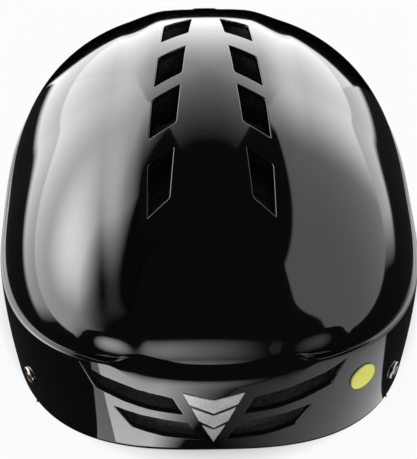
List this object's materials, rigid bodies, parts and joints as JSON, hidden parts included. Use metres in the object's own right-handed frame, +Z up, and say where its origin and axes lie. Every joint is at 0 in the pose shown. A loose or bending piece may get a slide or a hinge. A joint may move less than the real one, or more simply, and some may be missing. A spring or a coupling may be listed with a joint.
{
  "type": "bicycle helmet",
  "caption": "Hard-shell bicycle helmet with vents, foam liner, slip liner, dial-adjusted fit cradle, webbing straps and side-release buckle.",
  "frame": {"origin": "on the ground under the middle of the helmet, in the rim plane that the helmet stands on", "axes": "+Z up to the crown, +Y to the brow, +X to the wearer's right, rear at -Y"},
  "size_m": [0.2128, 0.2643, 0.1448],
  "materials": {
    "gloss_black_shell": "high gloss lacquer",
    "black_foam": "moulded bead foam",
    "dark_liner": "smooth low-friction sheet",
    "grey_elastomer": "matt",
    "pad_fabric": "brushed knit over foam",
    "black_nylon": "fine spark texture",
    "dial_rubber": "soft matt",
    "white_acetal": "smooth",
    "steel": "turned",
    "nickel": "plated, pressed",
    "webbing": "woven polyester",
    "buckle_plastic": "satin acetal",
    "elastic": "woven elastic",
    "reflective_grey": "glass-bead reflective film",
    "reflective_yellow": "prismatic reflective film"
  },
  "bodies": {
    "helmet": {"outer_shell": "gloss_black_shell", "foam_liner": "black_foam", "slip_tethers": "grey_elastomer", "crown_plug": "grey_elastomer", "brow_pad": "pad_fabric", "side_pad_left": "pad_fabric", "side_pad_right": "pad_fabric", "nape_pad": "pad_fabric", "front_band": "black_nylon", "cradle_yoke": "black_nylon", "cradle_pins": "black_nylon", "dial_housing": "black_nylon", "dial_housing_cover": "black_nylon", "rear_rivets": "nickel", "front_rivets": "nickel", "rivet_washers": "steel", "strap_rear_left": "webbing", "strap_rear_right": "webbing", "strap_front_left": "webbing", "strap_front_right": "webbing", "strap_divider_left": "buckle_plastic", "strap_divider_right": "buckle_plastic", "chin_strap_left": "webbing", "chin_strap_right": "webbing", "buckle_socket": "buckle_plastic", "chin_pad": "pad_fabric", "strap_keeper": "elastic", "chevron_top": "reflective_grey", "chevron_middle": "reflective_grey", "chevron_low": "reflective_grey", "round_reflector": "reflective_yellow"},
    "slip_bowl": {"slip_liner": "dark_liner", "crown_pad_left": "pad_fabric", "crown_pad_right": "pad_fabric"},
    "dial": {"fit_dial": "dial_rubber", "dial_pinion": "white_acetal", "dial_screw": "steel"},
    "band_right": {"fit_band_right": "black_nylon"},
    "band_left": {"fit_band_left": "black_nylon"},
    "plug": {"buckle_plug": "buckle_plastic"},
    "front_prong": {"prong_front": "buckle_plastic"},
    "rear_prong": {"prong_rear": "buckle_plastic"}
  },
  "joints": [
    {"name": "slip_turn", "type": "hinge", "parent": "helmet", "child": "slip_bowl", "pos_m": [0, 0, 0.114], "axis": [0, 0, 1], "range_deg": [-2.5, 2.5], "stiffness_Nm_per_rad": 0.6, "deforming": ["slip_tethers"]},
    {"name": "dial_turn", "type": "hinge", "parent": "helmet", "child": "dial", "pos_m": [0, -0.0967, 0.022], "axis": [0, 1, 0], "range_deg": [-170, 170]},
    {"name": "band_right_slide", "type": "slide", "parent": "helmet", "child": "band_right", "axis": [1, 0, 0], "range_m": [-0.01186, 0.01186], "deforming": ["fit_band_right"]},
    {"name": "band_left_slide", "type": "slide", "parent": "helmet", "child": "band_left", "axis": [-1, 0, 0], "range_m": [-0.01186, 0.01186], "deforming": ["fit_band_left"]},
    {"name": "plug_release", "type": "slide", "parent": "helmet", "child": "plug", "axis": [1, 0, 0], "range_m": [0, 0.016], "deforming": ["chin_strap_right", "prong_front", "prong_rear"]},
    {"name": "front_prong_press", "type": "hinge", "parent": "plug", "child": "front_prong", "pos_m": [-0.0218, -0.00562, 0.005], "axis": [0, 0, 1], "range_deg": [0, 8], "stiffness_Nm_per_rad": 0.05},
    {"name": "rear_prong_press", "type": "hinge", "parent": "plug", "child": "rear_prong", "pos_m": [-0.0218, -0.01838, 0.005], "axis": [0, 0, -1], "range_deg": [0, 8], "stiffness_Nm_per_rad": 0.05}
  ],
  "couplings": [
    {"joint": "dial_turn", "follows": "band_right_slide", "rad_per_m": 250},
    {"joint": "band_left_slide", "follows": "band_right_slide", "ratio": 1},
    {"joint": "rear_prong_press", "follows": "front_prong_press", "ratio": 1}
  ]
}
